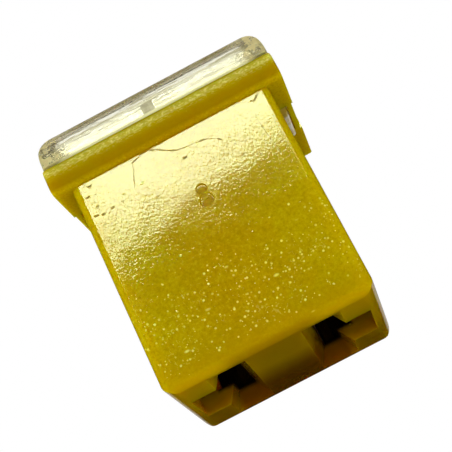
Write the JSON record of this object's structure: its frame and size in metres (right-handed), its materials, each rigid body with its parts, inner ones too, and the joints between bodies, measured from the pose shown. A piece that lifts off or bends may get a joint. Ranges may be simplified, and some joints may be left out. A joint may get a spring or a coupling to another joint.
{
  "type": "cartridge fuse",
  "caption": "Small moulded cartridge fuse: a squarish body with a collar, tab mouths in its base with spring terminals behind them, and a clear snap-fit lid.",
  "frame": {"origin": "middle of the flat bottom face", "axes": "+Z from the tab mouths up to the lid, +X across the two mouths, -Y out of the front face with the gate mark"},
  "size_m": [0.0154, 0.0126, 0.0181],
  "materials": {
    "yellow_plastic": "moulded nylon, fine spark-eroded texture",
    "clear_plastic": "clear moulded plastic",
    "plated_strip": "tin-plated copper alloy strip",
    "tin": "bare tin"
  },
  "bodies": {
    "root": {"housing": "yellow_plastic", "cover": "clear_plastic", "fuse_element": "plated_strip", "tin_spot": "tin"}
  },
  "joints": []
}
